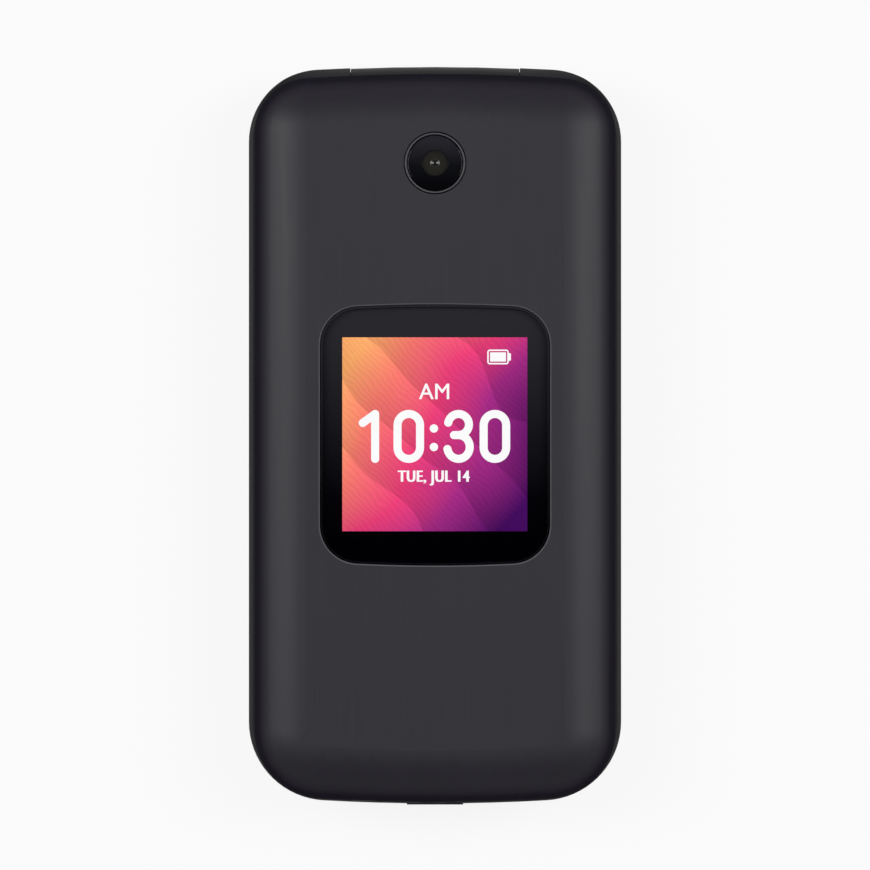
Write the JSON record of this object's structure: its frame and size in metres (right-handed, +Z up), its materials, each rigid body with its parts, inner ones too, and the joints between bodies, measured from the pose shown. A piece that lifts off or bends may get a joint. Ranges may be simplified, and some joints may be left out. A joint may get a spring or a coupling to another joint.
{
  "type": "flip phone",
  "caption": "Slim charcoal clamshell mobile phone with an outer display and camera in its lid, opening on a barrel hinge to an inner display and a number keypad.",
  "frame": {"origin": "under the middle of the closed phone, on the surface that it lies on", "axes": "+X across the phone towards the headset socket, +Y along it towards the hinge, +Z up out of the lid's outer face"},
  "size_m": [0.053, 0.105, 0.0189],
  "materials": {
    "cover_charcoal": "soft-touch charcoal with a faint violet cast",
    "frame_black": "fine-grained near-black",
    "housing_black": "fine-grained near-black",
    "face_black": "semi-gloss near-black",
    "glass": "polished, dark border",
    "lens_glass": "polished dome, nearly black",
    "display": "display module",
    "outer_display": "lit display module with a warm picture",
    "trim_metal": "spun ring",
    "steel": "plain steel",
    "plated": "plated",
    "gold": "gold plated contacts",
    "board": "solder-masked board",
    "flex": "amber flexible cable",
    "inner_black": "black moulding",
    "cell": "pouch cell in a printed wrap, left plain",
    "rubber": "soft black rubber",
    "mat_rubber": "translucent silicone",
    "number_keys": "dark keys",
    "nav_metal": "metallic painted",
    "ok_gloss": "dark gloss"
  },
  "bodies": {
    "base": {"hinge_cam_shaft": "steel", "hinge_flex": "flex", "keypad_cover": "face_black", "base_rear_housing": "housing_black", "battery": "cell", "main_board": "board", "shield_can": "steel", "dome_sheet": "steel", "key_mat": "mat_rubber", "battery_contacts": "gold", "sim_card_holder": "steel", "usb_socket": "plated", "headset_jack": "inner_black", "microphone": "steel", "loudspeaker": "inner_black", "vibration_motor": "steel", "side_switches": "steel", "base_screws": "steel"},
    "lid": {"lid_outer_cover": "cover_charcoal", "lid_inner_cover": "frame_black", "outer_display_window": "glass", "outer_display_panel": "outer_display", "camera_trim_ring": "trim_metal", "camera_window": "lens_glass", "camera_module": "inner_black", "main_display_window": "glass", "main_display_panel": "display", "lid_chassis": "steel", "earpiece_speaker": "inner_black", "earpiece_mesh": "steel", "lid_magnet": "steel", "lid_bumpers": "rubber", "lid_screws": "steel", "lid_board": "flex", "hinge_cartridge": "steel", "hinge_bushing": "steel"},
    "battery_cover": {"battery_cover": "housing_black"},
    "nav_carrier": {"nav_carrier": "steel"},
    "nav_ring": {"nav_ring": "nav_metal"},
    "ok_key": {"ok_key": "ok_gloss"},
    "volume_rocker": {"volume_rocker": "frame_black"},
    "key_0": {"key_0": "number_keys"},
    "key_1": {"key_1": "number_keys"},
    "key_2": {"key_2": "number_keys"},
    "key_3": {"key_3": "number_keys"},
    "key_4": {"key_4": "number_keys"},
    "key_5": {"key_5": "number_keys"},
    "key_6": {"key_6": "number_keys"},
    "key_7": {"key_7": "number_keys"},
    "key_8": {"key_8": "number_keys"},
    "key_9": {"key_9": "number_keys"},
    "key_star": {"key_star": "number_keys"},
    "key_hash": {"key_hash": "number_keys"},
    "soft_key_left": {"soft_key_left": "number_keys"},
    "soft_key_right": {"soft_key_right": "number_keys"},
    "message_key": {"message_key": "number_keys"},
    "camera_key": {"camera_key": "number_keys"},
    "call_key": {"call_key": "number_keys"},
    "clear_key": {"clear_key": "number_keys"},
    "end_key": {"end_key": "number_keys"}
  },
  "joints": [
    {"name": "battery_cover_slide", "type": "slide", "parent": "base", "child": "battery_cover", "axis": [0, -1, 0], "range_m": [0, 0.02]},
    {"name": "flip_hinge", "type": "hinge", "parent": "base", "child": "lid", "pos_m": [0, 0.0467, 0.01], "axis": [-1, 0, 0], "range_deg": [0, 160]},
    {"name": "key_0_press", "type": "slide", "parent": "base", "child": "key_0", "axis": [0, 0, -1], "range_m": [0, 0.00022], "stiffness_N_per_m": 1000},
    {"name": "key_1_press", "type": "slide", "parent": "base", "child": "key_1", "axis": [0, 0, -1], "range_m": [0, 0.00022], "stiffness_N_per_m": 1000},
    {"name": "key_2_press", "type": "slide", "parent": "base", "child": "key_2", "axis": [0, 0, -1], "range_m": [0, 0.00022], "stiffness_N_per_m": 1000},
    {"name": "key_3_press", "type": "slide", "parent": "base", "child": "key_3", "axis": [0, 0, -1], "range_m": [0, 0.00022], "stiffness_N_per_m": 1000},
    {"name": "key_4_press", "type": "slide", "parent": "base", "child": "key_4", "axis": [0, 0, -1], "range_m": [0, 0.00022], "stiffness_N_per_m": 1000},
    {"name": "key_5_press", "type": "slide", "parent": "base", "child": "key_5", "axis": [0, 0, -1], "range_m": [0, 0.00022], "stiffness_N_per_m": 1000},
    {"name": "key_6_press", "type": "slide", "parent": "base", "child": "key_6", "axis": [0, 0, -1], "range_m": [0, 0.00022], "stiffness_N_per_m": 1000},
    {"name": "key_7_press", "type": "slide", "parent": "base", "child": "key_7", "axis": [0, 0, -1], "range_m": [0, 0.00022], "stiffness_N_per_m": 1000},
    {"name": "key_8_press", "type": "slide", "parent": "base", "child": "key_8", "axis": [0, 0, -1], "range_m": [0, 0.00022], "stiffness_N_per_m": 1000},
    {"name": "key_9_press", "type": "slide", "parent": "base", "child": "key_9", "axis": [0, 0, -1], "range_m": [0, 0.00022], "stiffness_N_per_m": 1000},
    {"name": "key_star_press", "type": "slide", "parent": "base", "child": "key_star", "axis": [0, 0, -1], "range_m": [0, 0.00022], "stiffness_N_per_m": 1000},
    {"name": "key_hash_press", "type": "slide", "parent": "base", "child": "key_hash", "axis": [0, 0, -1], "range_m": [0, 0.00022], "stiffness_N_per_m": 1000},
    {"name": "soft_key_left_press", "type": "slide", "parent": "base", "child": "soft_key_left", "axis": [0, 0, -1], "range_m": [0, 0.00022], "stiffness_N_per_m": 1000},
    {"name": "soft_key_right_press", "type": "slide", "parent": "base", "child": "soft_key_right", "axis": [0, 0, -1], "range_m": [0, 0.00022], "stiffness_N_per_m": 1000},
    {"name": "message_key_press", "type": "slide", "parent": "base", "child": "message_key", "axis": [0, 0, -1], "range_m": [0, 0.00022], "stiffness_N_per_m": 1000},
    {"name": "camera_key_press", "type": "slide", "parent": "base", "child": "camera_key", "axis": [0, 0, -1], "range_m": [0, 0.00022], "stiffness_N_per_m": 1000},
    {"name": "call_key_press", "type": "slide", "parent": "base", "child": "call_key", "axis": [0, 0, -1], "range_m": [0, 0.00022], "stiffness_N_per_m": 1000},
    {"name": "clear_key_press", "type": "slide", "parent": "base", "child": "clear_key", "axis": [0, 0, -1], "range_m": [0, 0.00022], "stiffness_N_per_m": 1000},
    {"name": "end_key_press", "type": "slide", "parent": "base", "child": "end_key", "axis": [0, 0, -1], "range_m": [0, 0.00022], "stiffness_N_per_m": 1000},
    {"name": "ok_key_press", "type": "slide", "parent": "base", "child": "ok_key", "axis": [0, 0, -1], "range_m": [0, 0.00022], "stiffness_N_per_m": 1000},
    {"name": "nav_tilt_up_down", "type": "hinge", "parent": "base", "child": "nav_carrier", "pos_m": [0, 0.024, 0.009], "axis": [1, 0, 0], "range_deg": [-1.5, 1.5], "stiffness_Nm_per_rad": 0.7},
    {"name": "nav_tilt_left_right", "type": "hinge", "parent": "nav_carrier", "child": "nav_ring", "pos_m": [0, 0.024, 0.009], "axis": [0, 1, 0], "range_deg": [-1.5, 1.5], "stiffness_Nm_per_rad": 0.7},
    {"name": "volume_rock", "type": "hinge", "parent": "base", "child": "volume_rocker", "pos_m": [-0.0244, 0.02, 0.0061], "axis": [0, 0, 1], "range_deg": [-2.2, 2.2], "stiffness_Nm_per_rad": 0.3}
  ]
}
